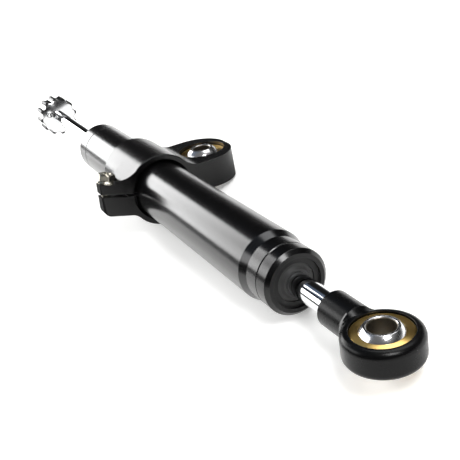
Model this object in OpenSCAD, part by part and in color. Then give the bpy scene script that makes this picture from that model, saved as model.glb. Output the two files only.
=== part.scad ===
// Through-rod steering damper with a pinch clamp and two spherical bearings.
// Millimetres. +X runs along the damper towards the rod end, +Y towards the
// clamp's lug and +Z up along both bearing bores. The origin is the centre of
// the rod end's ball.

/* [Rod and stroke] */
// diameter of the chromed rod
rod_d = 8; // [6:0.5:12]
// full travel of the rod between its two stops
stroke = 112; // [60:1:140]
// rod that shows between the front cap and the rod end in this pose
rod_show = 19.7; // [6:0.1:40]
// room left at each stop
stop_gap = 1; // [0.5:0.1:3]
// running clearance of the rod in its bushes
rod_clear = 0.03; // [0.01:0.01:0.1]

/* [Tube] */
// outside diameter of the tube
tube_d = 25.5; // [23:0.1:36]
// inside diameter of the tube
tube_bore = 20.6; // [18:0.1:21.4]
// diameter of the stepped-down neck and of the front cap
neck_d = 23.1; // [22.6:0.1:25]
// length of the tube's own neck
neck_len = 6.5; // [3:0.1:15]
// length of the sloped shoulder behind the neck
shoulder_len = 3.4; // [0.5:0.1:8]
// tube length beyond what the stroke, the piston and the caps need
oil_spare = 29.5; // [12:0.5:80]
// chamfer on the edges that meet at each cap joint
joint_edge = 0.35; // [0.1:0.05:0.6]

/* [Caps] */
// front cap outside the tube
front_cap_len = 6.8; // [6:0.1:15]
// rear cap outside the tube
rear_cap_len = 12; // [6:0.1:25]
// spigot of each cap inside the tube
spigot_len = 15; // [12:0.5:25]
// chamfer round each cap's outer face
cap_edge = 1.4; // [0.4:0.1:2.5]
// diameter of the dished part of each cap's face
dish_d = 17.4; // [15:0.1:19]
// depth of the dish
dish_deep = 1; // [0.3:0.1:2]
// diameter of the bore for wiper, seal and bush
gland_d = 13.4; // [12:0.1:14.4]
// depth of the wiper's seat below the cap's face
wiper_deep = 4; // [3:0.1:5]
// web between wiper and seal
web_t = 1.6; // [1:0.1:3]
// length of each rod seal
seal_len = 4.4; // [3:0.1:6]
// thickness of the ring seals on the spigots
oring_t = 1.5; // [1:0.1:2]
// clearance between pieces that are fixed together
fit_clear = 0.03; // [0.01:0.01:0.08]
// clearance of the soft seals round the rod
seal_clear = 0.06; // [0.03:0.01:0.1]

/* [Piston] */
// length of the piston
piston_len = 16; // [12:0.5:25]
// clearance between piston and tube
piston_clear = 0.2; // [0.1:0.05:0.4]
// width of the glide ring
ring_w = 4; // [2:0.1:6]
// thickness of one valve shim
shim_t = 0.4; // [0.2:0.05:0.8]
// thickness of the piston's circlips
clip_t = 1; // [0.6:0.1:1.6]
// number of ports through the piston
port_count = 6; // [3:1:8]
// diameter of one port
port_d = 2; // [1:0.1:2.6]

/* [Rod end] */
// centre of the ball to the end of the shank
eye_to_shank = 24; // [21:0.1:40]
// diameter of the shank
shank_d = 11.8; // [11:0.1:16]
// outside diameter of the eye
eye_d = 23.4; // [22:0.1:30]
// height of the eye
eye_h = 9; // [7.4:0.1:11]
// rounding of the eye's rims
eye_round = 2.2; // [0.6:0.1:3]
// radius of the flanks between shank and eye
eye_fillet = 6; // [3:0.5:10]
// outside diameter of the brass race
eye_race_d = 18.2; // [17.4:0.1:19.4]
// height of the brass race
eye_race_h = 8; // [6:0.1:8.4]
// diameter of the ball
eye_ball_d = 15.2; // [14.6:0.1:16]
// width of the ball along its bore
eye_ball_w = 11.4; // [9.6:0.1:12]
// bore of both balls
bolt_bore = 8.1; // [6.1:0.1:9]
// clearance between a ball and its race
ball_clear = 0.05; // [0.02:0.01:0.1]
// chamfer at the mouths of both bores
bore_edge = 0.4; // [0.2:0.05:0.6]
// diameter of the rod's threaded stub
stub_d = 6; // [5:0.5:6.5]
// length of the rod's threaded stub
stub_len = 9; // [6:0.5:10]

/* [Clamp] */
// distance from the tube's shoulder to the clamp
clamp_back = 98.1; // [1:0.1:130]
// length of the clamp along the tube
clamp_len = 36; // [30:0.5:50]
// outside diameter of the clamp's ring
clamp_ring_d = 32.4; // [30:0.1:42]
// sliding clearance of the clamp on the tube
clamp_clear = 0.04; // [0.01:0.01:0.05]
// chamfer at the mouths of the clamp's bore
clamp_edge = 1.2; // [0.3:0.1:1.6]
// height of the lug along its bore
lug_h = 13.4; // [12.4:0.1:22]
// distance from the damper's axis to the lug's bearing
lug_reach = 28.6; // [27.6:0.1:60]
// from the bearing's centre to the lug's tip
lug_tip = 12.8; // [12.4:0.1:20]
// corner radius of the lug in plan
lug_corner = 15; // [8:0.1:16]
// radius of the fillets between lug and ring
lug_fillet = 9; // [3:0.1:10]
// outside diameter of the lug's brass race
lug_race_d = 21.8; // [20.4:0.1:22.4]
// height of the lug's brass race
lug_race_h = 10; // [7:0.1:10.6]
// diameter of the lug's ball
lug_ball_d = 18; // [17.4:0.1:18.6]
// width of the lug's ball along its bore
lug_ball_w = 14.6; // [12:0.1:15]
// ledge below the race
lug_ledge = 1; // [0.5:0.1:1.4]

/* [Clamp ear] */
// tilt of the ear above the level of the lug
ear_tilt = 15.8; // [0:0.1:30]
// distance from the damper's axis to the bolt
ear_bolt_y = 25.4; // [24:0.1:32]
// from the bolt's axis to the ear's tip
ear_tip = 4.6; // [4:0.1:9]
// height of the ear's top above the axis
ear_top = 4.6; // [3:0.1:7]
// depth of the bolt's seat below the ear's top
seat_deep = 1.5; // [0.5:0.1:2.5]
// depth of the ear's underside below the axis
ear_low = 11.2; // [9:0.1:13]
// middle of the slit below the axis
slit_low = 1.9; // [0:0.1:3]
// width of the slit
slit_w = 1.4; // [0.8:0.1:2]
// length of the flat at the ear's tip
ear_len = 5.3; // [2:0.1:8]
// draft of the ear's tip, from top to underside
ear_draft = 3.2; // [0:0.1:4]
// radius of the ear's upper fillet
ear_fillet = 12; // [4:0.1:14]
// radius of the ear's lower fillet
ear_under = 6; // [2:0.1:8]
// radius of the ear's lower corner
ear_corner = 4; // [1:0.1:5]
// thread diameter of the pinch bolt
pinch_d = 4; // [3:0.5:5]
// depth of the pinch bolt's thread below the middle of the slit
pinch_grip = 5; // [3:0.1:5.5]
// diameter of the pinch bolt's flange
pinch_flange_d = 9.4; // [8.6:0.1:11]
// width across flats of the pinch bolt's head
pinch_af = 7; // [6:0.1:7.4]
// height of the pinch bolt's head with its flange
pinch_h = 4; // [3.4:0.1:6]

/* [Adjuster] */
// diameter of the knob
knob_d = 24; // [20:0.1:32]
// length of the knob
knob_len = 12; // [11:0.1:18]
// number of flutes round the knob
flute_count = 12; // [6:1:20]
// radius of one flute
flute_r = 2.6; // [1.5:0.1:3]
// depth of one flute
flute_deep = 1.7; // [0.5:0.1:1.8]
// bevel round the knob's rims
knob_edge = 0.6; // [0.2:0.1:1.2]
// diameter of the rod's spigot inside the knob
knob_spigot_d = 6.8; // [6:0.1:7.4]
// length of the rod's spigot inside the knob
knob_spigot_len = 7.5; // [7:0.1:8]
// diameter of the metering spindle
spindle_d = 3; // [2.4:0.1:3.4]
// clearance of the spindle in the rod
spindle_clear = 0.05; // [0.03:0.01:0.1]
// room left at each end of the spindle
spindle_gap = 0.3; // [0.2:0.1:1.2]
// diameter of the detent ball
detent_d = 3; // [2:0.1:3.4]

/* [Hidden] */
$fn = 72;
eps = 0.01;
rod_r = rod_d / 2;
tube_r = tube_d / 2;
bore_r = tube_bore / 2;
neck_r = neck_d / 2;
// places along the axis, from front to rear
shank_x = -eye_to_shank;
face_x = shank_x - rod_show;
fjoint_x = face_x - front_cap_len;
finner_x = fjoint_x - spigot_len;
shoulder_x = fjoint_x - neck_len - shoulder_len;
tube_len = stroke + piston_len + 2 * spigot_len + oil_spare;
rjoint_x = fjoint_x - tube_len;
rinner_x = rjoint_x + spigot_len;
rface_x = rjoint_x - rear_cap_len;
travel_in = rod_show - stop_gap;
rear_show = stroke - travel_in + stop_gap;
knob_x = rface_x - rear_show;
piston_x = finner_x - (stroke - travel_in) - piston_len / 2 - 6;
stub_x = shank_x + stub_len;
// glands
gland_r = gland_d / 2;
spigot_r = bore_r - fit_clear;
oring_r = oring_t / 2;
oring_mid = bore_r - oring_r - 0.02;
oring_groove_r = oring_mid - oring_r - 0.02;
oring_in = spigot_len * 0.5;
// piston
piston_r = bore_r - piston_clear;
ring_r = bore_r - 0.04;
ring_in_r = ring_r - 1.3;
piston_half = piston_len / 2;
clip_r = rod_r + 2;
clip_groove_r = rod_r - 0.5;
pitch_r = (clip_r + ring_in_r) / 2;
stack_t = 2 * shim_t;
// adjuster
spindle_r = spindle_d / 2;
hole_r = spindle_r + spindle_clear;
spigot_end_x = knob_x - knob_spigot_len;
knob_end_x = knob_x - knob_len;
knob_bore_r = knob_spigot_d / 2 + rod_clear;
hex_af = spindle_d * 0.8;
seat_x = piston_x - piston_half - stack_t - clip_t - 3;
tip_x = seat_x - spindle_gap;
port_x = seat_x - 2.5;
tail_x = knob_end_x + 2.6;
spindle_end_x = spigot_end_x + 1.2;
jet_end_x = piston_x + piston_half + stack_t + clip_t + 3;
jet_r = spindle_r * 0.5;
snap_x = knob_x - 2;
snap_w = 1;
detent_x = knob_x - 5;
detent_r = detent_d / 2;
spigot_r_out = knob_spigot_d / 2;
groove_r = spigot_r_out - 0.6;
detent_mid = groove_r + 0.08 + detent_r;
flute_bottom = knob_d / 2 - flute_deep;
plug_len = 2;
plug_out = flute_bottom - 0.3;
spring_in = detent_mid + detent_r * 0.8;
spring_out = plug_out - plug_len;
detent_angle = 180 / flute_count;
// clamp
clamp_x = shoulder_x - clamp_back;
clamp_end_x = clamp_x - clamp_len;
clamp_mid_x = clamp_x - clamp_len / 2;
clamp_r = clamp_ring_d / 2;
clamp_bore_r = tube_r + clamp_clear;
lug_half = lug_h / 2;
lug_y = lug_reach;
lug_tip_y = lug_reach + lug_tip;
ear_end_y = ear_bolt_y + ear_tip;
pinch_r = pinch_d / 2;
pinch_x = clamp_x - pinch_flange_d / 2 + 0.2;
seat_z = ear_top - seat_deep;
ear_back = pinch_flange_d * 1.2 + 7;

// a profile of [radius, x] points turned about the damper's axis
module turned(points) {
    rotate([0, 90, 0])
        rotate_extrude()
            polygon(points);
}

// a round bar along X from a to b
module bar_x(a, b, r) {
    translate([min(a, b), 0, 0])
        rotate([0, 90, 0])
            cylinder(h = abs(b - a), r = r);
}

// a ring along X from a to b
module ring_x(a, b, ri, ro) {
    lo = min(a, b);
    hi = max(a, b);
    turned([[ri, lo], [ro, lo], [ro, hi], [ri, hi]]);
}

module cylinder_tube() {
    color([0.03, 0.03, 0.035])
        turned([[bore_r, rjoint_x], [tube_r - joint_edge, rjoint_x], [tube_r, rjoint_x + joint_edge],
            [tube_r, shoulder_x], [neck_r, shoulder_x + shoulder_len],
            [neck_r, fjoint_x - joint_edge], [neck_r - joint_edge, fjoint_x], [bore_r, fjoint_x]]);
}

// a gland cap; dir is 1 when its face looks along +X and -1 when it looks along -X
module gland_cap(face, joint, inner, rad, dir) {
    web = face - dir * wiper_deep;
    web_in = web - dir * web_t;
    g0 = joint - dir * (oring_in - oring_t * 0.65);
    g1 = joint - dir * (oring_in + oring_t * 0.65);
    slack = rod_r + 0.3;
    turned([[slack, web_in], [slack, web], [gland_r, web], [gland_r, face - dir * dish_deep],
        [dish_d / 2, face - dir * dish_deep], [dish_d / 2, face], [rad - cap_edge, face],
        [rad, face - dir * cap_edge], [rad, joint + dir * joint_edge], [rad - joint_edge, joint],
        [spigot_r, joint], [spigot_r, g0], [oring_groove_r, g0], [oring_groove_r, g1],
        [spigot_r, g1], [spigot_r, inner], [gland_r, inner], [gland_r, web_in]]);
}

module front_cap() {
    color([0.035, 0.035, 0.04])
        gland_cap(face_x, fjoint_x, finner_x, neck_r, 1);
}

module rear_cap() {
    color([0.035, 0.035, 0.04])
        gland_cap(rface_x, rjoint_x, rinner_x, tube_r, -1);
}

// a wiper with a lip that stands round the rod
module wiper(face, dir) {
    seat = face - dir * wiper_deep;
    ro = gland_r - fit_clear;
    ri = rod_r + seal_clear;
    top = face - dir * (dish_deep + 0.4);
    lip = face - dir * (dish_deep - 0.6);
    turned([[ri, seat], [ro, seat], [ro, top], [ri + 1.5, top], [ri + 0.7, lip], [ri, lip]]);
}

module front_wiper() {
    color([0.06, 0.06, 0.06])
        wiper(face_x, 1);
}

module rear_wiper() {
    color([0.06, 0.06, 0.06])
        wiper(rface_x, -1);
}

// a rod seal with its hollow side towards the oil
module rod_seal(face, dir) {
    seat = face - dir * (wiper_deep + web_t);
    back = seat - dir * seal_len;
    ro = gland_r - fit_clear;
    ri = rod_r + seal_clear;
    mid = (ri + ro) / 2;
    turned([[ri, seat], [ro, seat], [ro, back], [mid + 0.5, back], [mid, back + dir * 1.6],
        [mid - 0.5, back], [ri, back]]);
}

module front_seal() {
    color([0.25, 0.1, 0.08])
        rod_seal(face_x, 1);
}

module rear_seal() {
    color([0.25, 0.1, 0.08])
        rod_seal(rface_x, -1);
}

module guide_bush(face, inner, dir) {
    start = face - dir * (wiper_deep + web_t + seal_len);
    ring_x(start, inner, rod_r + rod_clear, gland_r - fit_clear);
}

module front_bush() {
    color([0.7, 0.5, 0.25])
        guide_bush(face_x, finner_x, 1);
}

module rear_bush() {
    color([0.7, 0.5, 0.25])
        guide_bush(rface_x, rinner_x, -1);
}

module cap_orings() {
    color([0.05, 0.05, 0.05])
        for (x = [fjoint_x - oring_in, rjoint_x + oring_in])
            translate([x, 0, 0])
                rotate([0, 90, 0])
                    rotate_extrude()
                        translate([oring_mid, 0])
                            circle(r = oring_r, $fn = 24);
}

module damper_rod() {
    clip_out = piston_half + stack_t;
    color([0.75, 0.76, 0.78])
        difference() {
            turned([[0, stub_x], [stub_d / 2 - 0.5, stub_x], [stub_d / 2, stub_x - 0.5],
                [stub_d / 2, shank_x], [rod_r, shank_x], [rod_r, piston_x + clip_out + clip_t],
                [clip_groove_r, piston_x + clip_out + clip_t], [clip_groove_r, piston_x + clip_out],
                [rod_r, piston_x + clip_out], [rod_r, piston_x - clip_out],
                [clip_groove_r, piston_x - clip_out], [clip_groove_r, piston_x - clip_out - clip_t],
                [rod_r, piston_x - clip_out - clip_t], [rod_r, knob_x], [spigot_r_out, knob_x],
                [spigot_r_out, snap_x + snap_w / 2], [groove_r, snap_x + snap_w / 2],
                [groove_r, snap_x - snap_w / 2], [spigot_r_out, snap_x - snap_w / 2],
                [spigot_r_out, detent_x + detent_r], [groove_r, detent_x + detent_r * 0.6],
                [groove_r, detent_x - detent_r * 0.6], [spigot_r_out, detent_x - detent_r],
                [spigot_r_out, spigot_end_x], [0, spigot_end_x]]);
            bar_x(spigot_end_x - 1, seat_x, hole_r);
            bar_x(seat_x - eps, jet_end_x, jet_r);
            // a cross hole before the piston, and behind it the port that the spindle covers
            translate([jet_end_x - jet_r, 0, 0])
                cylinder(h = rod_d + 2, r = jet_r, center = true);
            translate([port_x, 0, 0])
                cylinder(h = rod_d, r = jet_r);
        }
}

module piston() {
    color([0.72, 0.72, 0.74])
        difference() {
            turned([[rod_r + fit_clear, piston_x - piston_half],
                [piston_r - 0.6, piston_x - piston_half], [piston_r, piston_x - piston_half + 0.6],
                [piston_r, piston_x - ring_w / 2 - 0.1], [ring_in_r - 0.1, piston_x - ring_w / 2 - 0.1],
                [ring_in_r - 0.1, piston_x + ring_w / 2 + 0.1], [piston_r, piston_x + ring_w / 2 + 0.1],
                [piston_r, piston_x + piston_half - 0.6], [piston_r - 0.6, piston_x + piston_half],
                [rod_r + fit_clear, piston_x + piston_half]]);
            for (i = [0 : port_count - 1])
                rotate([i * 360 / port_count, 0, 0])
                    translate([0, pitch_r, 0])
                        bar_x(piston_x - piston_len, piston_x + piston_len, port_d / 2);
        }
}

module piston_ring() {
    color([0.3, 0.22, 0.15])
        ring_x(piston_x - ring_w / 2, piston_x + ring_w / 2, ring_in_r, ring_r);
}

module piston_shims() {
    large = pitch_r + port_d / 2 + 0.2;
    small = (large + clip_r) / 2;
    ri = rod_r + fit_clear;
    color([0.6, 0.62, 0.65])
        for (side = [-1, 1]) {
            a = piston_x + side * piston_half;
            b = a + side * shim_t;
            c = b + side * shim_t;
            turned([[ri, a], [large, a], [large, b], [small, b], [small, c], [ri, c]]);
        }
}

module piston_clips() {
    color([0.35, 0.35, 0.37])
        for (side = [-1, 1]) {
            a = piston_x + side * (piston_half + stack_t);
            b = a + side * clip_t;
            difference() {
                ring_x(a, b, clip_groove_r + fit_clear, clip_r);
                translate([(a + b) / 2, 0, clip_r])
                    cube([clip_t + 1, 2.4, 2 * (clip_r - clip_groove_r + 0.6)], center = true);
            }
        }
}

// half the section of an eye, its outer rims rounded
module eye_section(r, half, rim) {
    translate([0, -half])
        square([r - rim, 2 * half]);
    translate([0, rim - half])
        square([r, 2 * (half - rim)]);
    for (side = [-1, 1])
        translate([r - rim, side * (half - rim)])
            circle(r = rim);
}

// concave flanks of radius f, turned about X, from a shank of radius s into an eye of radius e
module neck(s, e, f) {
    fr = s + f - 0.03;
    fx = -sqrt(pow(e + f - 0.03, 2) - fr * fr);
    rotate([0, 90, 0])
        rotate_extrude()
            difference() {
                polygon([[0, fx], [fr, fx], [0, 0]]);
                translate([fr, fx])
                    circle(r = f);
            }
}

module rod_end_housing() {
    er = eye_d / 2;
    hh = eye_h / 2;
    sr = shank_d / 2;
    neck_in = er - 1;
    color([0.03, 0.03, 0.035])
        difference() {
            union() {
                rotate_extrude()
                    eye_section(er, hh, eye_round);
                turned([[0, shank_x], [sr - 0.6, shank_x], [sr, shank_x + 0.6],
                    [sr, -neck_in - 0.9], [hh - eye_round * 0.3, -neck_in + 1.2],
                    [0, -neck_in + 1.2]]);
                // flanks between shank and eye
                intersection() {
                    neck(sr, er, eye_fillet);
                    cube([2 * eye_d, 2 * eye_d, eye_h - eye_round], center = true);
                }
            }
            cylinder(h = eye_h + shank_d, r = eye_race_d / 2 + fit_clear, center = true);
            bar_x(shank_x - 1, stub_x + 0.6, stub_d / 2 + fit_clear);
        }
}

// a race with a spherical seat, its bore along Z
module race(d, h, ball, edge) {
    rotate_extrude()
        difference() {
            polygon([[0, -h / 2], [d / 2 - edge, -h / 2], [d / 2, -h / 2 + edge],
                [d / 2, h / 2 - edge], [d / 2 - edge, h / 2], [0, h / 2]]);
            circle(r = ball / 2 + ball_clear, $fn = 96);
            translate([-d, -d])
                square([d, 2 * d]);
        }
}

// a bored ball with flat faces, its bore along Z
module bored_ball(d, w) {
    br = bolt_bore / 2;
    difference() {
        rotate_extrude()
            intersection() {
                circle(r = d / 2, $fn = 96);
                translate([br, -w / 2])
                    square([d, w]);
            }
        for (side = [-1, 1])
            translate([0, 0, side * w / 2])
                mirror([0, 0, side > 0 ? 0 : 1])
                    translate([0, 0, -bore_edge])
                        cylinder(h = bore_edge + eps, r1 = br - eps, r2 = br + bore_edge);
    }
}

module rod_end_race() {
    color([0.72, 0.53, 0.2])
        race(eye_race_d, eye_race_h, eye_ball_d, 0.4);
}

module rod_end_ball() {
    color([0.8, 0.8, 0.82])
        bored_ball(eye_ball_d, eye_ball_w);
}

// the concave corner between the clamp's ring and a flat at height h
module fillet_2d(h, r) {
    cz = h + r - 0.03;
    cy = sqrt(pow(clamp_r + r - 0.03, 2) - pow(cz, 2));
    difference() {
        polygon([[0, 0], [cy, cz], [cy, 0]]);
        translate([cy, cz])
            circle(r = r);
    }
}

// a profile in the YZ plane drawn out along X from a down to b
module along_x(a, b) {
    translate([b, 0, 0])
        rotate([90, 0, 90])
            linear_extrude(height = a - b)
                children();
}

module lug_plan() {
    half = clamp_len / 2;
    c = min(lug_corner, half);
    translate([clamp_mid_x, 0]) {
        translate([-half, 0])
            square([clamp_len, lug_tip_y - c]);
        translate([-half + c, 0])
            square([clamp_len - 2 * c, lug_tip_y]);
        for (side = [-1, 1])
            translate([side * (half - c), lug_tip_y - c])
                circle(r = c);
    }
}

// the split ear, drawn in its own tilted frame with the tip along -Y
module ear_profile() {
    slope = ear_draft / (ear_top + ear_low);
    long = sqrt(1 + slope * slope);
    c = ear_corner;
    cz = c - ear_low;
    cy = ear_end_y - slope * (ear_top - cz) - c * long;
    mirror([1, 0]) {
        polygon([[0, ear_top], [ear_end_y, ear_top], [cy + c / long, cz - c * slope / long],
            [cy, -ear_low], [0, -ear_low]]);
        translate([cy, cz])
            circle(r = c);
        fillet_2d(ear_top, ear_fillet);
        mirror([0, 1])
            fillet_2d(ear_low, ear_under);
    }
}

module clamp_body() {
    t = -ear_tilt;
    seat_r = pinch_flange_d / 2 + 0.25;
    color([0.045, 0.045, 0.05])
        difference() {
            union() {
                turned([[0, clamp_end_x], [clamp_r - 0.5, clamp_end_x], [clamp_r, clamp_end_x + 0.5],
                    [clamp_r, clamp_x - 0.3], [clamp_r - 0.3, clamp_x], [0, clamp_x]]);
                translate([0, 0, -lug_half])
                    linear_extrude(height = lug_h)
                        lug_plan();
                along_x(clamp_x, clamp_end_x) {
                    fillet_2d(lug_half, lug_fillet);
                    mirror([0, 1])
                        fillet_2d(lug_half, lug_fillet);
                }
                rotate([t, 0, 0])
                    intersection() {
                        along_x(clamp_x, clamp_x - ear_back)
                            ear_profile();
                        // in plan the ear runs round the bolt and back to the ring
                        translate([0, 0, -clamp_ring_d])
                            linear_extrude(height = 2 * clamp_ring_d)
                                polygon([[clamp_x + 1, 0], [clamp_x + 1, -ear_end_y - 1],
                                    [clamp_x - ear_len, -ear_end_y - 1],
                                    [clamp_x - ear_len, ear_draft - ear_end_y],
                                    [pinch_x - pinch_flange_d * 0.62, 1 - ear_bolt_y],
                                    [clamp_x - ear_back + 1, -clamp_r + 1], [clamp_x - ear_back + 1, 0]]);
                    }
            }
            // bore for the tube, with a chamfer at both mouths
            bar_x(clamp_x + 1, clamp_end_x - 1, clamp_bore_r);
            turned([[0, clamp_x - clamp_edge], [clamp_bore_r, clamp_x - clamp_edge],
                [clamp_bore_r + clamp_edge + 0.1, clamp_x + 0.1], [0, clamp_x + 0.1]]);
            turned([[0, clamp_end_x + clamp_edge], [clamp_bore_r, clamp_end_x + clamp_edge],
                [clamp_bore_r + clamp_edge + 0.1, clamp_end_x - 0.1], [0, clamp_end_x - 0.1]]);
            // seat of the bearing, and the smaller hole below its ledge
            translate([clamp_mid_x, lug_y, -lug_race_h / 2])
                cylinder(h = lug_h, r = lug_race_d / 2 + fit_clear);
            translate([clamp_mid_x, lug_y, 0])
                cylinder(h = lug_h + 2, r = lug_race_d / 2 - lug_ledge, center = true);
            rotate([t, 0, 0]) {
                translate([clamp_end_x - 1, -ear_end_y - 5, -slit_low - slit_w / 2])
                    cube([clamp_len + 2, ear_end_y + 5 - bore_r, slit_w]);
                // seat of the bolt, open towards the ear's tip
                translate([pinch_x, -ear_bolt_y, seat_z])
                    cylinder(h = clamp_ring_d, r = seat_r);
                translate([clamp_end_x - 1, -ear_end_y - 5, seat_z])
                    cube([clamp_len + 2, ear_tip + 5, clamp_ring_d]);
                translate([pinch_x, -ear_bolt_y, -slit_low])
                    cylinder(h = ear_top + slit_low + 1, r = pinch_r + 0.3);
                translate([pinch_x, -ear_bolt_y, -slit_low - pinch_grip])
                    cylinder(h = pinch_grip, r = pinch_r + fit_clear);
            }
        }
}

module clamp_race() {
    color([0.72, 0.53, 0.2])
        translate([clamp_mid_x, lug_y, 0])
            race(lug_race_d, lug_race_h, lug_ball_d, 0.4);
}

module clamp_ball() {
    color([0.8, 0.8, 0.82])
        translate([clamp_mid_x, lug_y, 0])
            bored_ball(lug_ball_d, lug_ball_w);
}

module clamp_bolt() {
    fr = pinch_flange_d / 2;
    flange_t = 0.9;
    hex_r = pinch_af / sqrt(3);
    color([0.75, 0.75, 0.74])
        rotate([-ear_tilt, 0, 0])
            translate([pinch_x, -ear_bolt_y, seat_z]) {
                difference() {
                    union() {
                        cylinder(h = flange_t * 0.5, r = fr);
                        translate([0, 0, flange_t * 0.5])
                            cylinder(h = flange_t, r1 = fr, r2 = hex_r - 0.3);
                        intersection() {
                            cylinder(h = pinch_h, r = hex_r, $fn = 6);
                            cylinder(h = pinch_h, r1 = hex_r + 2.2, r2 = pinch_af / 2 - 0.1);
                        }
                    }
                    // shallow dish in the head's top
                    translate([0, 0, pinch_h - 0.8])
                        cylinder(h = 1, r1 = pinch_af * 0.27, r2 = pinch_af * 0.32);
                }
                translate([0, 0, -seat_z - slit_low - pinch_grip + 0.5])
                    cylinder(h = seat_z + slit_low + pinch_grip - 0.5, r = pinch_r);
            }
}

module adjuster_knob() {
    kr = knob_d / 2;
    e = knob_edge;
    color([0.8, 0.8, 0.82])
        difference() {
            turned([[0, knob_end_x], [kr - e, knob_end_x], [kr, knob_end_x + e], [kr, knob_x - e],
                [kr - e, knob_x], [0, knob_x]]);
            for (i = [0 : flute_count - 1])
                rotate([detent_angle + i * 360 / flute_count, 0, 0])
                    translate([0, kr - flute_deep + flute_r, 0])
                        bar_x(knob_end_x - 1, knob_x + 1, flute_r);
            // bore for the rod's spigot, groove for the snap ring, hexagon for the spindle
            bar_x(spigot_end_x - 0.2, knob_x + 1, knob_bore_r);
            ring_x(snap_x - snap_w / 2 - 0.1, snap_x + snap_w / 2 + 0.1, 1, knob_bore_r + 0.7);
            translate([tail_x - spindle_gap, 0, 0])
                rotate([0, 90, 0])
                    cylinder(h = 6, r = (hex_af + 0.2) / sqrt(3), $fn = 6);
            // radial hole for the detent
            rotate([detent_angle, 0, 0])
                translate([detent_x, 0, 0])
                    rotate([-90, 0, 0])
                        cylinder(h = kr + 1, r = detent_r + 0.06);
            // index dimple in the face
            rotate([detent_angle + 4.5 * 360 / flute_count, 0, 0])
                translate([knob_x + 1.2, kr * 0.52, 0])
                    sphere(r = 2.4);
        }
}

module knob_ring() {
    color([0.5, 0.5, 0.52])
        difference() {
            ring_x(snap_x - snap_w / 2 + 0.05, snap_x + snap_w / 2 - 0.05, groove_r + 0.1, knob_bore_r + 0.5);
            translate([snap_x, 0, knob_bore_r])
                cube([snap_w + 1, 1.6, knob_bore_r], center = true);
        }
}

module metering_spindle() {
    ring_at = spigot_end_x + 14;
    color([0.7, 0.71, 0.73])
        difference() {
            union() {
                turned([[0, spindle_end_x], [spindle_r, spindle_end_x], [spindle_r, ring_at],
                    [spindle_r - 0.4, ring_at], [spindle_r - 0.4, ring_at + 0.7],
                    [spindle_r, ring_at + 0.7], [spindle_r, tip_x], [0, tip_x]]);
                translate([tail_x, 0, 0])
                    rotate([0, 90, 0])
                        cylinder(h = spindle_end_x + 0.5 - tail_x, r = hex_af / sqrt(3), $fn = 6);
            }
            // the half cut that opens or covers the rod's port
            translate([port_x - 2, 0, -spindle_d])
                cube([6, spindle_d, 2 * spindle_d]);
        }
}

module spindle_oring() {
    ring_at = spigot_end_x + 14.35;
    color([0.05, 0.05, 0.05])
        translate([ring_at, 0, 0])
            rotate([0, 90, 0])
                rotate_extrude()
                    translate([spindle_r - 0.19, 0])
                        circle(r = 0.19, $fn = 16);
}

module detent_frame() {
    rotate([detent_angle, 0, 0])
        translate([detent_x, 0, 0])
            rotate([-90, 0, 0])
                children();
}

module detent_ball() {
    color([0.8, 0.8, 0.82])
        detent_frame()
            translate([0, 0, detent_mid])
                sphere(r = detent_r);
}

module detent_spring() {
    color([0.55, 0.55, 0.57])
        detent_frame()
            translate([0, 0, spring_in])
                difference() {
                    cylinder(h = spring_out - spring_in, r = detent_r * 0.85);
                    translate([0, 0, -1])
                        cylinder(h = spring_out - spring_in + 2, r = detent_r * 0.62);
                }
}

module detent_plug() {
    color([0.2, 0.2, 0.21])
        detent_frame()
            difference() {
                translate([0, 0, spring_out])
                    cylinder(h = plug_len, r = detent_r + 0.02);
                translate([0, 0, plug_out - 1.2])
                    cylinder(h = 2, r = detent_r * 0.6, $fn = 6);
            }
}

cylinder_tube();
front_cap();
rear_cap();
front_wiper();
rear_wiper();
front_seal();
rear_seal();
front_bush();
rear_bush();
cap_orings();
damper_rod();
piston();
piston_ring();
piston_shims();
piston_clips();
rod_end_housing();
rod_end_race();
rod_end_ball();
clamp_body();
clamp_race();
clamp_ball();
clamp_bolt();
adjuster_knob();
knob_ring();
metering_spindle();
spindle_oring();
detent_ball();
detent_spring();
detent_plug();
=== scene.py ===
"""Looks for the steering damper: finishes, the wound detent spring, table, lamps and camera.

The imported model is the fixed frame. Everything here is in metres in that frame: +X runs along the
damper towards the rod end, +Y towards the clamp's lug, +Z along both bearing bores, and the origin is
the centre of the rod end's ball.
"""

import logging
import math
from dataclasses import dataclass, field
from enum import Enum
from typing import Dict, List, Tuple

import bmesh
import bpy
import numpy as np
from mathutils import Matrix, Vector


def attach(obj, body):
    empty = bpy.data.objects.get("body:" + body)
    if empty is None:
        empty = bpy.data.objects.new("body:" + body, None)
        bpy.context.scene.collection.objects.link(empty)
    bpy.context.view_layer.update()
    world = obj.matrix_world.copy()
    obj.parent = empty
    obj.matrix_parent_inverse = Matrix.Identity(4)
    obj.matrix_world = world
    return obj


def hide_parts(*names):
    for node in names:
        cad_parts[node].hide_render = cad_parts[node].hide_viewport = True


logging.basicConfig(level=logging.INFO, format="%(message)s")
LOG = logging.getLogger("steering_damper")

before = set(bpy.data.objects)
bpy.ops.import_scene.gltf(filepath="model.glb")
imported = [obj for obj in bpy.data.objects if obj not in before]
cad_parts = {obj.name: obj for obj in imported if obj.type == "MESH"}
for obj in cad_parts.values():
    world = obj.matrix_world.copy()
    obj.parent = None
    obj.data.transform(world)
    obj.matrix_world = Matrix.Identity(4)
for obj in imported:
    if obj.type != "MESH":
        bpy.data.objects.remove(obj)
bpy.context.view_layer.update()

Colour = Tuple[float, float, float]
Point = Tuple[float, float, float]
Stops = Tuple[Tuple[float, object], ...]
Socket = bpy.types.NodeSocket

ORIGIN: Point = (0.0, 0.0, 0.0)
# A limit this far out, in metres, limits nothing.
FREE = 1.0
# Cutter marks lean the normal by this share of their full lean, give or take the swing.
MARK_MIDDLE = 0.75
MARK_SWING = 0.25
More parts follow.
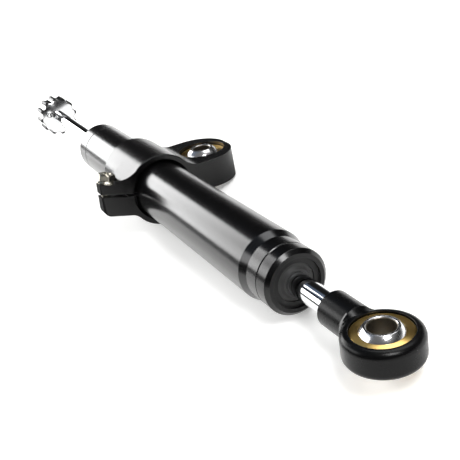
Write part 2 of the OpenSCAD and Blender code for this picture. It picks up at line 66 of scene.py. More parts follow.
# Noise of the cloudy gloss, of the turned lines and of the grain.
CLOUD_NOISE = {"Detail": 4.0, "Roughness": 0.6}
LINE_NOISE = {"noise_dimensions": "1D", "Detail": 2.0, "Roughness": 0.6}
GRAIN_NOISE = {"Detail": 3.0, "Roughness": 0.65}
# An edge counts as bent between these cosines of the softened normal and the face's own.
EDGE_FLAT = 0.98
EDGE_BENT = 0.78
EDGE_SAMPLES = 6
# Edge wearing and the knob's and bolt's painted edge shade go from none to full over this much cloud.
EDGE_WEAR_AND_SHADE_WIDTH = 0.24
# Turned metal draws its highlight out across the lines: a quarter of a turn from the tangent.
QUARTER_TURN = 0.25
# Points of the coil that are nearer than this, in metres, are one.
WELD = 1e-7


class Axis(Enum):
    """The line that a turned or ground pattern runs round."""

    DAMPER = "X"
    BORE = "Z"


class Shade:
    """A small writer of node trees."""

    def __init__(self, tree: bpy.types.NodeTree) -> None:
        """Empties a node tree and takes it over.

        Args:
            tree: the tree of a material, a lamp or the world.
        """
        self.tree = tree
        self.tree.nodes.clear()

    def node(self, kind: str, **values: object) -> bpy.types.Node:
        """Adds a node and sets its options and its unlinked inputs.

        Args:
            kind: Blender's type name without the ShaderNode prefix.
            values: options of the node, or values of inputs named with underscores for spaces.

        Returns:
            The new node.
        """
        made = self.tree.nodes.new("ShaderNode" + kind)
        for key, value in values.items():
            label = key.replace("_", " ")
            if label in made.inputs:
                made.inputs[label].default_value = value
            else:
                setattr(made, key, value)
        return made

    def link(self, source: Socket, target: Socket) -> None:
        """Joins two sockets."""
        self.tree.links.new(source, target)

    def math(self, operation: str, *values: object, clamp: bool = False) -> Socket:
        """Adds one sum.

        Args:
            operation: the Math node's operation.
            values: numbers or sockets, in the order of the node's inputs.
            clamp: whether the result is kept between 0 and 1.

        Returns:
            The result's socket.
        """
        made = self.tree.nodes.new("ShaderNodeMath")
        made.operation = operation
        made.use_clamp = clamp
        for slot, value in zip(made.inputs, values):
            if isinstance(value, (int, float)):
                slot.default_value = value
            else:
                self.link(value, slot)
        return made.outputs[0]

    def vector(self, operation: str, *values: object) -> bpy.types.Node:
        """Adds one vector sum.

        Args:
            operation: the Vector Math node's operation.
            values: vectors or sockets, in the order of the node's inputs.

        Returns:
            The new node, which gives a Vector or a Value.
        """
        made = self.node("VectorMath", operation=operation)
        for slot, value in zip(made.inputs, values):
            if isinstance(value, tuple):
                slot.default_value = value
            else:
                self.link(value, slot)
        return made

    def step(self, value: Socket, start: float, end: float) -> Socket:
        """Rises from 0 at start to 1 at end, which may lie below start.

        Args:
            value: the number to test.
            start: where the result is still 0.
            end: where the result has reached 1.

        Returns:
            The result's socket.
        """
        slope = 1.0 / (end - start)
        return self.math("MULTIPLY_ADD", value, slope, -start * slope, clamp=True)

    def ramp(self, source: Socket, stops: Stops) -> Socket:
        """Maps a value through straight steps between stops.

        Args:
            source: the value to map.
            stops: (place, grey or colour) pairs from low to high.

        Returns:
            The mapped value's socket.
        """
        made = self.tree.nodes.new("ShaderNodeValToRGB")
        bar = made.color_ramp
        while len(bar.elements) < len(stops):
            bar.elements.new(0.5)
        for element, (place, tone) in zip(bar.elements, stops):
            element.position = place
            element.color = (*tone, 1.0) if isinstance(tone, tuple) else (tone, tone, tone, 1.0)
        self.link(source, made.inputs[0])
        return made.outputs[0]

    def mix(self, share: Socket, low: object, high: object) -> Socket:
        """Mixes two colours by a share.

        Args:
            share: socket that gives 0 for low and 1 for high.
            low: the first colour, or its socket.
            high: the second colour, or its socket.

        Returns:
            The colour's socket.
        """
        made = self.tree.nodes.new("ShaderNodeMix")
        made.data_type = "RGBA"
        for name, tone in (("A", low), ("B", high)):
            if isinstance(tone, tuple):
                made.inputs[name].default_value = (*tone, 1.0)
            else:
                self.link(tone, made.inputs[name])
        self.link(share, made.inputs["Factor"])
        return made.outputs["Result"]

    def place(self, centre: Point) -> Socket:
        """Gives Object coordinates about a centre.

        Args:
            centre: point of the frame that becomes the pattern's origin.

        Returns:
            The vector's socket.
        """
        coords = self.tree.nodes.new("ShaderNodeTexCoord")
        mapping = self.node("Mapping")
        mapping.inputs["Location"].default_value = tuple(-c for c in centre)
        self.link(coords.outputs["Object"], mapping.inputs["Vector"])
        return mapping.outputs["Vector"]

    def split(self, vector: Socket) -> Dict[str, Socket]:
        """Takes a vector apart.

        Args:
            vector: the vector's socket.

        Returns:
            The sockets of its three numbers, by letter.
        """
        made = self.node("SeparateXYZ")
        self.link(vector, made.inputs[0])
        return {letter: made.outputs[letter] for letter in "XYZ"}

    def seen(self) -> Socket:
        """Tells what the camera sees, straight or in metal and glass, from soft light.

        Returns:
            A socket that gives 1 for what is seen and 0 for soft light.
        """
        ray = self.node("LightPath")
        shown = self.math("MAXIMUM", ray.outputs["Is Camera Ray"], ray.outputs["Is Glossy Ray"])
        return self.math("MAXIMUM", shown, ray.outputs["Is Transmission Ray"])

    def close(self, kind: str, surface: Socket) -> None:
        """Ends the tree with an output of one kind: Material, Light or World."""
        out = self.tree.nodes.new("ShaderNodeOutput" + kind)
        self.link(surface, out.inputs["Surface"])


@dataclass(frozen=True)
class Zone:
    """A part of a surface with its own tone and gloss, told by its place about the finish's centre.

    It lies between low and high, and inside one distance from the axis or outside another. Its
    limits are steps as wide as soft, or as blend at the high Y limit where blend is given. Where
    waves is given, it has cutter marks that lean the normal: lean is their full lean, and waves the
    radians of their sine in a metre of Y.
    """

    colour: Colour
    rough: float
    low: Point = (-FREE, -FREE, -FREE)
    high: Point = (FREE, FREE, FREE)
    inside: float = 0.0
    outside: float = 0.0
    soft: float = 0.0002
    blend: float = 0.0
    lean: Point = ORIGIN
    waves: float = 0.0

    def tilt(self, shade: Shade, parts: Dict[str, Socket], share: Socket, normal: Socket) -> Socket:
        """Leans the normal by cutter marks: adds lean, times a sine of Y from half to full, to it.

        Args:
            shade: the material's writer.
            parts: the place, by letter.
            share: where the zone lies.
            normal: the normal before.

        Returns:
            The leaning normal's socket.
        """
        wave = shade.math("SINE", shade.math("MULTIPLY", parts["Y"], self.waves))
        marks = shade.math("MULTIPLY_ADD", wave, MARK_SWING, MARK_MIDDLE)
        size = shade.math("MULTIPLY", marks, share)
        total = shade.vector("MULTIPLY_ADD", self.lean, size, normal)
        return shade.vector("NORMALIZE", total.outputs["Vector"]).outputs["Vector"]

    def share(self, shade: Shade, parts: Dict[str, Socket], radius: Socket) -> Socket:
        """Works out where the zone lies: soft steps at its limits, multiplied.

        Args:
            shade: the material's writer.
            parts: the place, by letter.
            radius: the distance from the finish's axis.

        Returns:
            A socket that gives 1 in the zone and 0 outside it.
        """
        steps: List[Socket] = []
        for letter, low, high in zip("XYZ", self.low, self.high):
            if low > -FREE:
                steps.append(shade.step(parts[letter], low, low + self.soft))
            if high < FREE:
                width = self.blend if self.blend and letter == "Y" else self.soft
                steps.append(shade.step(parts[letter], high, high - width))
        if self.inside:
            steps.append(shade.step(radius, self.inside + self.soft, self.inside))
        if self.outside:
            steps.append(shade.step(radius, self.outside, self.outside + self.soft))
        total = steps[0]
        for other in steps[1:]:
            total = shade.math("MULTIPLY", total, other)
        return total


@dataclass(frozen=True)
class Finish:
    """A finish with fine machining lines, cloudy gloss and softened edges, slightly rubbed on most
    finishes and darkened by painted shade on the knob and bolt.

    Lines, cloud and grain are counts per metre; depths and edge are metres. The lines run round the
    axis through the centre. Edges take their second colour where the cloud is above a threshold, as
    strongly as a given strength says: the edges' rubbing on most finishes, and painted shade on the
    knob and the bolt, whose dark edge colour reaches nearly all their edges. Spin is how far a turned
    face draws its highlight out, and dome how much its normals lean outwards per metre from the axis.
    """

    name: str
    colour: Colour
    edge_wear_and_shade_colour: Colour
    metallic: float
    rough: float
    rough_spread: float = 0.06
    ior: float = 1.5
    axis: Axis = Axis.DAMPER
    centre: Point = ORIGIN
    lines: float = 3000.0
    line_depth: float = 0.000002
    cloud: float = 120.0
    grain: float = 0.0
    grain_depth: float = 0.0
    edge: float = 0.0003
    edge_wear_and_shade: float = 0.5
    edge_wear_and_shade_from: float = 0.42
    spin: float = 0.0
    dome: float = 0.0
    zones: Tuple[Zone, ...] = ()

    def radius(self, shade: Shade, parts: Dict[str, Socket]) -> Socket:
        """Gives the distance from the finish's axis: the root of the two other numbers' squares.

        Args:
            shade: the material's writer.
            parts: the place about the centre, by letter.

        Returns:
            The distance's socket.
        """
        first, second = [parts[letter] for letter in "XYZ" if letter != self.axis.value]
        square = shade.math("MULTIPLY", first, first)
        return shade.math("SQRT", shade.math("MULTIPLY_ADD", second, second, square))

    def relief(self, shade: Shade, vector: Socket, number: Socket, soft: Socket) -> Socket:
        """Lays turned lines, and grain where there is any, over the softened edges.

        Turned lines are noise of one number: the place along the axis plus the distance from it.

        Args:
            shade: the material's writer.
            vector: coordinates about the centre.
            number: the number that the lines follow.
            soft: the normal with softened edges.

        Returns:
            The normal's socket.
        """
        noise = shade.node("TexNoise", **LINE_NOISE)
        shade.link(shade.math("MULTIPLY", number, self.lines), noise.inputs["W"])
        bump = shade.node("Bump", Strength=1.0, Distance=self.line_depth)
        shade.link(noise.outputs["Fac"], bump.inputs["Height"])
        shade.link(soft, bump.inputs["Normal"])
        if self.grain:
            below = bump
            grains = shade.node("TexNoise", Scale=self.grain, **GRAIN_NOISE)
            shade.link(vector, grains.inputs["Vector"])
            bump = shade.node("Bump", Strength=1.0, Distance=self.grain_depth)
            shade.link(grains.outputs["Fac"], bump.inputs["Height"])
            shade.link(below.outputs["Normal"], bump.inputs["Normal"])
        return bump.outputs["Normal"]

    def crown(self, shade: Shade, vector: Socket, normal: Socket) -> Socket:
        """Leans the normal outwards by the distance from the axis times dome, as on a crowned face.

        Args:
            shade: the material's writer.
            vector: coordinates about the centre.
            normal: the normal before.

        Returns:
            The leaning normal's socket.
        """
        rise = tuple(0.0 if letter == self.axis.value else self.dome for letter in "XYZ")
        total = shade.vector("MULTIPLY_ADD", vector, rise, normal)
        return shade.vector("NORMALIZE", total.outputs["Vector"]).outputs["Vector"]

    def build(self) -> bpy.types.Material:
        """Writes the node material.

        Returns:
            The finished material.
        """
        material = bpy.data.materials.new(self.name)
        material.use_nodes = True
        shade = Shade(material.node_tree)
        vector = shade.place(self.centre)
        parts = shade.split(vector)
        radius = self.radius(shade, parts)
        cloud = shade.node("TexNoise", Scale=self.cloud, **CLOUD_NOISE)
        shade.link(vector, cloud.inputs["Vector"])
        soft = shade.node("Bevel", samples=EDGE_SAMPLES, Radius=self.edge)
        surface = shade.node("NewGeometry")
        turn = shade.vector("DOT_PRODUCT", soft.outputs["Normal"], surface.outputs["Normal"])
        bent = shade.step(turn.outputs["Value"], EDGE_FLAT, EDGE_BENT)
        # On the knob and the bolt this edge colour is painted shade; elsewhere it is the edges'
        # rubbing.
        edge_patches = shade.step(cloud.outputs["Fac"], self.edge_wear_and_shade_from, self.edge_wear_and_shade_from + EDGE_WEAR_AND_SHADE_WIDTH)
        edge_wear_and_shade = shade.math("MULTIPLY", shade.math("MULTIPLY", bent, edge_patches), self.edge_wear_and_shade, clamp=True)
        colour = shade.mix(edge_wear_and_shade, self.colour, self.edge_wear_and_shade_colour)
        rough = shade.math("MULTIPLY_ADD", cloud.outputs["Fac"], self.rough_spread,
                           self.rough - self.rough_spread / 2)
        number = shade.math("ADD", radius, parts[self.axis.value])
        normal = self.relief(shade, vector, number, soft.outputs["Normal"])
        if self.dome:
            normal = self.crown(shade, vector, normal)
        for zone in self.zones:
            share = zone.share(shade, parts, radius)
            colour = shade.mix(share, colour, zone.colour)
            rest = shade.math("SUBTRACT", zone.rough, rough)
            rough = shade.math("MULTIPLY_ADD", rest, share, rough)
            if zone.waves:
                normal = zone.tilt(shade, parts, share, normal)
        bsdf = shade.node("BsdfPrincipled", Metallic=self.metallic, IOR=self.ior)
        if self.spin:
            bsdf.inputs["Anisotropic"].default_value = self.spin
            bsdf.inputs["Anisotropic Rotation"].default_value = QUARTER_TURN
            round_axis = shade.node("Tangent", direction_type="RADIAL", axis=self.axis.value)
            shade.link(round_axis.outputs[0], bsdf.inputs["Tangent"])
        shade.link(colour, bsdf.inputs["Base Color"])
        shade.link(rough, bsdf.inputs["Roughness"])
        shade.link(normal, bsdf.inputs["Normal"])
        shade.close("Material", bsdf.outputs[0])
        return material


LUG_CENTRE: Point = (-0.1765, 0.0286, 0.0)
BLACK: Colour = (0.002, 0.002, 0.0022)
BARE_ALLOY: Colour = (0.2, 0.2, 0.2)
STEEL: Colour = (0.75, 0.75, 0.76)
BRIGHT: Colour = (0.8, 0.8, 0.8)
BRASS: Colour = (0.86, 0.58, 0.19)
BRASS_WORN: Colour = (0.94, 0.72, 0.34)
CUTTER_MARKS = 9000.0

# The ball's bore in dark brown: painted shade, standing for the shaded table that the bore mirrors.
PAINTED_SHADE_BORE = Zone((0.16, 0.14, 0.11), 0.45, inside=0.0042)
# The root of the clamp's ear, where it runs up into the ring. Its lean turns the normals to the left
# panel, because the root is bright in the photograph.
MILLED_FILLET = Zone(BLACK, 0.25, low=(-0.1785, -0.0206, 0.003), high=(-0.1586, -0.0108, FREE),
                     soft=0.0004, blend=0.006, lean=(0.0, -0.95, 0.0), waves=CUTTER_MARKS)
# The ear's end, its slit and, more so downwards, the lug's wall. They are dull, so that they mirror
# less of the white table.
EAR_TIP = Zone(BLACK, 0.95, high=(FREE, -0.0274, FREE))
SLIT = Zone(BLACK, 0.95, low=(-0.1785, -FREE, -0.0045), high=(-0.159, -0.0128, 0.002))
LUG_WALL = Zone(BLACK, 0.75, low=(-FREE, 0.008, -FREE), high=(FREE, FREE, 0.0067), soft=0.012)
# The shoulder between the rod end's shank and its eye. The solid has a chamfer and a hollow flank
# here, and the lean turns the normals to the left panel for the bright line in the photograph.
NECK_FILLET = Zone(BLACK, 0.2, low=(-0.0122, -0.0063, 0.0003), high=(-0.0109, -0.0029, FREE),
                   soft=0.0003, lean=(-2.6, -6.6, 7.0), waves=CUTTER_MARKS)
# The dull dish in the front cap's face, and the knob's rim in near black: painted shade, a dark
# reflection painted along the rim.
DISHED_FACE = Zone(BLACK, 0.5, inside=0.0101)
PAINTED_SHADE_KNOB_RIM = Zone((0.03, 0.03, 0.03), 0.3, outside=0.0106)


class Finishes:
    """The object's finishes."""

    tube = Finish("tube_black", BLACK, BARE_ALLOY, 0.0, 0.21, ior=1.52, line_depth=0.000001)
    cap = Finish("cap_black", BLACK, BARE_ALLOY, 0.0, 0.2, ior=1.42, line_depth=0.000001,
                 zones=(DISHED_FACE,))
    clamp = Finish("clamp_black", BLACK, BARE_ALLOY, 0.0, 0.24, ior=1.4, grain=2500.0,
                   grain_depth=0.0000012, zones=(MILLED_FILLET, EAR_TIP, SLIT, LUG_WALL))
    eye = Finish("rod_end_black", BLACK, BARE_ALLOY, 0.0, 0.27, ior=1.27, grain=1800.0,
                 grain_depth=0.000002, zones=(NECK_FILLET,))
    chrome = Finish("rod_chrome", (0.78, 0.79, 0.8), BRIGHT, 1.0, 0.05, 0.03, lines=9000.0,
                    line_depth=0.0000004)
    ball = Finish("ball_steel", STEEL, BRIGHT, 1.0, 0.2, 0.05, axis=Axis.BORE, zones=(PAINTED_SHADE_BORE,))
    lug_ball = Finish("lug_ball_steel", STEEL, BRIGHT, 1.0, 0.2, 0.05, axis=Axis.BORE,
                      centre=LUG_CENTRE, zones=(PAINTED_SHADE_BORE,))
    click_ball = Finish("click_ball_steel", STEEL, BRIGHT, 1.0, 0.08, 0.04)
    brass = Finish("eye_brass", BRASS, BRASS_WORN, 1.0, 0.3, 0.08, axis=Axis.BORE, spin=0.6,
                   dome=30.0)
    lug_brass = Finish("lug_brass", BRASS, BRASS_WORN, 1.0, 0.35, 0.08, axis=Axis.BORE,
                       centre=LUG_CENTRE, spin=0.85)
    # The bolt's dark brown edge colour covers most of its edges and is painted shade round its
    # facets.
    bolt = Finish("bolt_zinc", (0.58, 0.55, 0.47), (0.1, 0.09, 0.07), 1.0, 0.2, 0.06, grain=1500.0,
                  grain_depth=0.000002, edge=0.0005, edge_wear_and_shade=3.0, edge_wear_and_shade_from=0.1)
    # The knob's near-black edge colour reaches every edge. With its rim zone it is painted shade that
    # outlines its flutes.
    knob = Finish("knob_polish", (0.72, 0.72, 0.73), (0.02, 0.02, 0.02), 1.0, 0.16, 0.05,
                  line_depth=0.0, edge=0.0009, edge_wear_and_shade=4.0, edge_wear_and_shade_from=-0.3, spin=0.6, dome=36.0,
                  zones=(PAINTED_SHADE_KNOB_RIM,))
    alloy = Finish("piston_alloy", (0.7, 0.7, 0.72), BRIGHT, 1.0, 0.3, 0.1)
    rubber = Finish("seal_rubber", (0.03, 0.03, 0.03), (0.05, 0.05, 0.05), 0.0, 0.6, 0.2,
                    line_depth=0.000004, grain=3000.0, grain_depth=0.00001)
    bronze = Finish("guide_bronze", (0.68, 0.48, 0.24), (0.76, 0.56, 0.32), 1.0, 0.35, 0.1)
    plastic = Finish("glide_ring", (0.25, 0.2, 0.15), (0.3, 0.25, 0.2), 0.0, 0.5, 0.1)
    spring = Finish("spring_steel", (0.5, 0.5, 0.52), (0.65, 0.65, 0.66), 1.0, 0.25, 0.1)
    spindle = Finish("spindle_steel", (0.66, 0.67, 0.69), (0.75, 0.75, 0.76), 1.0, 0.18, 0.06)


class Shelf:
    """Keeps each finish's material once it is written."""

    def __init__(self) -> None:
        """Starts empty."""
        self.made: Dict[Finish, bpy.types.Material] = {}

    def put_on(self, target: bpy.types.Object, finish: Finish) -> None:
        """Gives an object one finish.

        Args:
            target: a CAD node or a new piece.
            finish: the finish, written on its first use.
        """
        if finish not in self.made:
            self.made[finish] = finish.build()
        target.data.materials.clear()
        target.data.materials.append(self.made[finish])


def write_mesh(name: str, points: np.ndarray, faces: np.ndarray,
               weld: float = 0.0) -> bpy.types.Object:
    """Puts an array surface into a new smooth mesh object at the origin.

    Args:
        name: name of the piece.
        points: N x 3 array of places in the frame, metres.
        faces: M x 4 array of corner numbers, turning outwards.
        weld: distance within which points become one, which closes the poles.

    Returns:
        The new object.
    """
    mesh = bpy.data.meshes.new(name)
    mesh.vertices.add(len(points))
    mesh.vertices.foreach_set("co", points.astype(np.float32).ravel())
    mesh.loops.add(faces.size)
    mesh.loops.foreach_set("vertex_index", faces.astype(np.int32).ravel())
    mesh.polygons.add(len(faces))
    starts = np.arange(0, faces.size, faces.shape[1], dtype=np.int32)
    mesh.polygons.foreach_set("loop_start", starts)
    mesh.polygons.foreach_set("use_smooth", np.ones(len(faces), dtype=bool))
    mesh.update(calc_edges=True)
    if weld:
        joined = bmesh.new()
        joined.from_mesh(mesh)
        bmesh.ops.remove_doubles(joined, verts=joined.verts, dist=weld)
        bmesh.ops.recalc_face_normals(joined, faces=joined.faces)
        joined.to_mesh(mesh)
        joined.free()
    made = bpy.data.objects.new(name, mesh)
    bpy.context.scene.collection.objects.link(made)
    return made


def grid_faces(rows: int, columns: int, round_columns: bool = False) -> np.ndarray:
    """Numbers the four-cornered faces of a grid of points that is stored row by row.

    Face (a, b) joins the points (a, b), (a + 1, b), (a + 1, b + 1) and (a, b + 1).

    Args:
        rows: points along the first parameter.
        columns: points along the second parameter.
        round_columns: whether the second parameter closes on itself.

    Returns:
        M x 4 array of corner numbers.
    """
    i = np.arange(rows - 1)
    j = np.arange(columns if round_columns else columns - 1)
    a, b = np.meshgrid(i, j, indexing="ij")
    c, d = a + 1, (b + 1) % columns
    quads = np.stack([a * columns + b, c * columns + b, c * columns + d, a * columns + d], axis=-1)
    return quads.reshape(-1, 4)


def corners(made: bpy.types.Object) -> np.ndarray:
    """Reads the vertex places of an object that sits at the origin.

    Args:
        made: the object.

    Returns:
        N x 3 array of places in the frame, metres.
    """
    flat = np.zeros(len(made.data.vertices) * 3, np.float32)
    made.data.vertices.foreach_get("co", flat)
    return flat.reshape(-1, 3).astype(float)


@dataclass
class SubAssembly:
    """CAD nodes that belong together, by finish."""

    name: str
    finishes: Dict[str, Finish]

    def build(self, shelf: Shelf) -> None:
        """Makes the sub-assembly's own pieces; a plain one has none."""

    def dress(self, shelf: Shelf) -> None:
        """Gives each CAD node its finish.

        Args:
            shelf: the materials.
        """
        for node, finish in self.finishes.items():
            shelf.put_on(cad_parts[node], finish)
            LOG.info("%s: %s takes %s", self.name, node, finish.name)


@dataclass
class Barrel(SubAssembly):
    """The tube, its gland caps and what seals and guides the rod in them."""

    name: str = "barrel"
    finishes: Dict[str, Finish] = field(default_factory=lambda: {
        "cylinder_tube": Finishes.tube, "front_cap": Finishes.cap, "rear_cap": Finishes.tube,
        "front_wiper": Finishes.rubber, "rear_wiper": Finishes.rubber,
        "front_seal": Finishes.rubber, "rear_seal": Finishes.rubber,
        "front_bush": Finishes.bronze, "rear_bush": Finishes.bronze, "cap_orings": Finishes.rubber})


@dataclass
class Rod(SubAssembly):
    """The through rod with the piston that it carries."""

    name: str = "rod"
    finishes: Dict[str, Finish] = field(default_factory=lambda: {
        "damper_rod": Finishes.chrome, "piston": Finishes.alloy, "piston_ring": Finishes.plastic,
        "piston_shims": Finishes.spring, "piston_clips": Finishes.spring,
        "knob_ring": Finishes.spring})


@dataclass
class RodEnd(SubAssembly):
    """The rod end: housing, race and bored ball."""

    name: str = "rod end"
    finishes: Dict[str, Finish] = field(default_factory=lambda: {
        "rod_end_housing": Finishes.eye, "rod_end_race": Finishes.brass,
        "rod_end_ball": Finishes.ball})


@dataclass
class Clamp(SubAssembly):
    """The pinch clamp with its bolt and the lug's bearing."""

    name: str = "clamp"
    finishes: Dict[str, Finish] = field(default_factory=lambda: {
        "clamp_body": Finishes.clamp, "clamp_race": Finishes.lug_brass,
        "clamp_ball": Finishes.lug_ball, "clamp_bolt": Finishes.bolt})


@dataclass
class Adjuster(SubAssembly):
    """The knob with its metering spindle and its click detent, whose spring is wound here."""

    name: str = "adjuster"
    finishes: Dict[str, Finish] = field(default_factory=lambda: {
        "adjuster_knob": Finishes.knob, "metering_spindle": Finishes.spindle,
        "spindle_oring": Finishes.rubber, "detent_ball": Finishes.click_ball,
        "detent_spring": Finishes.spring, "detent_plug": Finishes.spring})
    turns: float = 4.5
    steps: int = 160
    sides: int = 12
    ground: float = 0.88

    def coil(self) -> bpy.types.Object:
        """Winds the detent's spring in the place of its CAD sleeve.

        The wire's middle runs round the sleeve's axis at the middle of its wall while it climbs from
        end to end; the climb is s - ground * sin(2 pi s) / 2 pi, which nearly stops at both ends and
        so closes the end turns. A circle as wide as the wall is carried along that path, in the plane
        of the outward direction and its cross product with the path, and is a point at both ends.

        Returns:
            The spring.
        """
        sleeve = corners(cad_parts["detent_spring"])
        middle = (sleeve.min(axis=0) + sleeve.max(axis=0)) / 2
        climb = np.array([0.0, middle[1], middle[2]])
        climb = climb / np.linalg.norm(climb)
        along = np.array([1.0, 0.0, 0.0])
        across = np.cross(climb, along)
        height = (sleeve - middle) @ climb
        distance = np.linalg.norm(sleeve - middle - height[:, None] * climb, axis=1)
        wire = (distance.max() - distance.min()) / 2
        reach = (distance.max() + distance.min()) / 2
        length = height.max() - height.min() - 2 * wire
        s = np.linspace(0.0, 1.0, self.steps)
        angle = 2 * np.pi * self.turns * s
        lift = length * (s - self.ground * np.sin(2 * np.pi * s) / (2 * np.pi) - 0.5)
        outward = np.cos(angle)[:, None] * along + np.sin(angle)[:, None] * across
        path = middle + lift[:, None] * climb + reach * outward
        ahead = np.gradient(path, axis=0)
        ahead = ahead / np.linalg.norm(ahead, axis=1)[:, None]
        beside = np.cross(ahead, outward)
        turn = np.linspace(0.0, 2 * np.pi, self.sides, endpoint=False)
        thick = wire * np.where((s == 0.0) | (s == 1.0), 0.0, 1.0)
        round_out = np.cos(turn)[None, :, None] * outward[:, None]
        round_beside = np.sin(turn)[None, :, None] * beside[:, None]
        ring = round_out + round_beside
        points = path[:, None] + thick[:, None, None] * ring
        return write_mesh("detent_coil", points.reshape(-1, 3),
                          grid_faces(self.steps, self.sides, round_columns=True), weld=WELD)

    def build(self, shelf: Shelf) -> None:
        """Makes the wound spring, which rides on the knob in place of its CAD sleeve.

        Args:
            shelf: the materials.
        """
        made = self.coil()
        shelf.put_on(made, Finishes.spring)
        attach(made, "knob")
        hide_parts("detent_spring")
        LOG.info("%s: wound %s", self.name, made.name)


@dataclass
class Camera:
    """The photograph's camera: a plain pinhole that looks along a yaw, pitch and roll."""

    place: Point = (0.1393, -0.0956, 0.1157)
    yaw: float = 2.748
    pitch: float = -0.425
    roll: float = -0.182
    focal: float = 741.0
    frame_size: float = 460.0
    sensor: float = 36.0
    nearest: float = 0.005
    farthest: float = 20.0

    def build(self) -> None:
        """Makes the camera and hands it to the scene; focal and frame_size are pixels."""
        ahead = Vector((math.cos(self.pitch) * math.cos(self.yaw),
                        math.cos(self.pitch) * math.sin(self.yaw), math.sin(self.pitch)))
        right = ahead.cross(Vector((0.0, 0.0, 1.0))).normalized()
        above = right.cross(ahead)
        c, s = math.cos(self.roll), math.sin(self.roll)
        turned_right = c * right + s * above
        turned_up = c * above - s * right
        data = bpy.data.cameras.new("camera")
        data.sensor_width = self.sensor
        data.lens = self.focal / self.frame_size * self.sensor
        data.clip_start = self.nearest
        data.clip_end = self.farthest
        made = bpy.data.objects.new("camera", data)
        bpy.context.scene.collection.objects.link(made)
        turn = Matrix((turned_right, turned_up, -ahead)).transposed().to_4x4()
        made.matrix_world = Matrix.Translation(Vector(self.place)) @ turn
        bpy.context.scene.camera = made


@dataclass
class Lamp:
    """One soft rectangular lamp, which stands away from its aim and faces it.

    Where fade is given, the glow rises from dim times its level at the lamp's front end to all of it,
    over that share of the lamp's length.
    """

    name: str
    away: Point
    size: Tuple[float, float]
    glow: float
    aim: Point = (-0.15, 0.0, 0.0)
    fade: float = 0.0
    dim: float = 0.35

    def fade_end(self, data: bpy.types.Light) -> None:
        """Lets the glow fall away towards the lamp's front end.

        Args:
            data: the lamp's data.
        """
        data.use_nodes = True
        shade = Shade(data.node_tree)
        side = shade.node("NewGeometry")
        back = shade.math("SUBTRACT", 1.0, shade.split(side.outputs["Parametric"])["X"])
        glow = shade.node("Emission")
        shade.link(shade.ramp(back, ((0.0, self.dim), (self.fade, 1.0))), glow.inputs["Strength"])
        shade.close("Light", glow.outputs[0])

    def build(self) -> None:
        """Makes the lamp; its power is its glow times pi times its area."""
        data = bpy.data.lights.new(self.name, "AREA")
        data.shape = "RECTANGLE"
        data.size, data.size_y = self.size
        data.energy = self.glow * math.pi * self.size[0] * self.size[1]
        if self.fade:
            self.fade_end(data)
        made = bpy.data.objects.new(self.name, data)
        bpy.context.scene.collection.objects.link(made)
        back = Vector(self.away)
        made.location = Vector(self.aim) + back
        made.rotation_mode = "QUATERNION"
        made.rotation_quaternion = (-back).to_track_quat("-Z", "Y")
        made.visible_camera = False


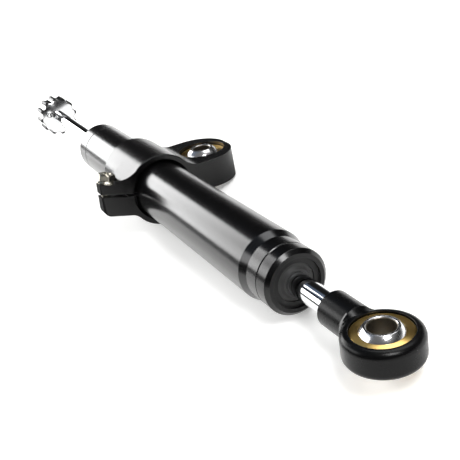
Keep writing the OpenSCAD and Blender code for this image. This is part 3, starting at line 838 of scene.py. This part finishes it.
@dataclass
class Studio:
    """White table, dark room above it, and soft lamps.

    Roll and pitch are the table's tilt in degrees. Its glow rises from paper_glow to far_glow between
    the two distances of glow_rise from its middle. The room's bands are tones by height over the
    table: low_band all round, then behind or ahead, which meet between the two places of turn_ahead.
    """

    roll: float = 13.5
    pitch: float = 2.0
    reach: float = 4.0
    ambient: float = 0.3
    paper: Colour = (0.94, 0.94, 0.93)
    paper_glow: float = 0.3
    far_glow: float = 0.75
    glow_rise: Tuple[float, float] = (0.45, 1.2)
    glow_tint: Colour = (1.0, 1.0, 0.99)
    middle: Point = (-0.17, 0.0, 0.0)
    grid: int = 9
    low_band: Stops = ((0.0, 1.0), (0.035, 0.3), (0.13, 0.06), (0.3, 0.012))
    behind: Stops = ((0.6, 0.012), (0.67, (0.13, 0.165, 0.23)), (1.0, (0.13, 0.155, 0.19)))
    ahead: Stops = ((0.5, 0.12), (1.0, 0.16))
    turn_ahead: Tuple[float, float] = (-0.3, 0.1)
    lamps: List[Lamp] = field(default_factory=lambda: [
        Lamp("left_panel", (0.0, -0.455, 0.385), (1.9, 0.88), 9.0, aim=(-1.75, -0.01, -0.012),
             fade=0.35),
        Lamp("left_strip", (0.0, -0.54, 0.28), (0.7, 0.26), 4.0, aim=(-0.5, 0.0, 0.0)),
        Lamp("front_panel", (0.305, -0.017, 0.457), (0.16, 0.22), 18.0,
             aim=(-0.044, -0.004, 0.01)),
        Lamp("overhead_panel", (-0.05, 0.32, 0.85), (0.6, 0.5), 3.0),
    ])

    def up(self) -> np.ndarray:
        """The table's upward direction in the frame; the object lies tilted on it."""
        tilts = np.radians([self.pitch, self.roll])
        slope = np.append(-np.tan(tilts), 1.0)
        return slope / np.linalg.norm(slope)

    def build_table(self) -> None:
        """Makes the table's top: a square grid on the plane through the object's lowest point."""
        up = self.up()
        low = min(float((corners(o) @ up).min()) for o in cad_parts.values())
        along = np.cross([0.0, 1.0, 0.0], up)
        along = along / np.linalg.norm(along)
        across = np.cross(up, along)
        line = np.linspace(-self.reach, self.reach, self.grid)
        u, v = np.meshgrid(line, line, indexing="ij")
        centre = np.array(self.middle)
        centre = centre + (low - centre @ up) * up
        points = centre + u.reshape(-1, 1) * along + v.reshape(-1, 1) * across
        made = write_mesh("table", points, grid_faces(self.grid, self.grid))
        made.data.materials.append(self.table_white())

    def table_white(self) -> bpy.types.Material:
        """Writes the table's white: paper that glows where it is seen, and is clear from below.

        Returns:
            The finished material.
        """
        material = bpy.data.materials.new("table_white")
        material.use_nodes = True
        shade = Shade(material.node_tree)
        paper = shade.node("BsdfDiffuse", Color=(*self.paper, 1.0))
        glow = shade.node("Emission", Color=(*self.glow_tint, 1.0))
        away = shade.vector("LENGTH", shade.place(self.middle))
        far = shade.step(away.outputs["Value"], *self.glow_rise)
        level = shade.math("MULTIPLY_ADD", far, self.far_glow - self.paper_glow, self.paper_glow)
        shade.link(shade.math("MULTIPLY", shade.seen(), level), glow.inputs["Strength"])
        both = shade.node("AddShader")
        shade.link(paper.outputs[0], both.inputs[0])
        shade.link(glow.outputs[0], both.inputs[1])
        side = shade.node("NewGeometry")
        clear = shade.node("BsdfTransparent")
        either = shade.node("MixShader")
        shade.link(side.outputs["Backfacing"], either.inputs[0])
        shade.link(both.outputs[0], either.inputs[1])
        shade.link(clear.outputs[0], either.inputs[2])
        shade.close("Material", either.outputs[0])
        return material

    def build_room(self) -> None:
        """Makes the world: white low down, dark above, bluish high behind, even for soft light."""
        world = bpy.data.worlds.new("room")
        bpy.context.scene.world = world
        world.use_nodes = True
        shade = Shade(world.node_tree)
        coords = shade.node("TexCoord")
        height = shade.vector("DOT_PRODUCT", coords.outputs["Generated"], tuple(self.up()))
        behind = shade.ramp(height.outputs["Value"], self.low_band + self.behind)
        ahead = shade.ramp(height.outputs["Value"], self.low_band + self.ahead)
        way = shade.split(coords.outputs["Generated"])["X"]
        view = shade.mix(shade.step(way, *self.turn_ahead), behind, ahead)
        even = (self.ambient, self.ambient, self.ambient)
        back = shade.node("Background", Strength=1.0)
        shade.link(shade.mix(shade.seen(), even, view), back.inputs["Color"])
        shade.close("World", back.outputs[0])

    def build(self) -> None:
        """Makes the table, the room and the lamps."""
        self.build_table()
        self.build_room()
        for lamp in self.lamps:
            lamp.build()
            LOG.info("studio: lamp %s", lamp.name)


def main() -> None:
    """Builds the scene in order."""
    bpy.context.scene.view_settings.view_transform = "Standard"
    Camera().build()
    shelf = Shelf()
    for part in (Barrel(), Rod(), RodEnd(), Clamp(), Adjuster()):
        part.dress(shelf)
        part.build(shelf)
    Studio().build()


if __name__ == "__main__":
    main()
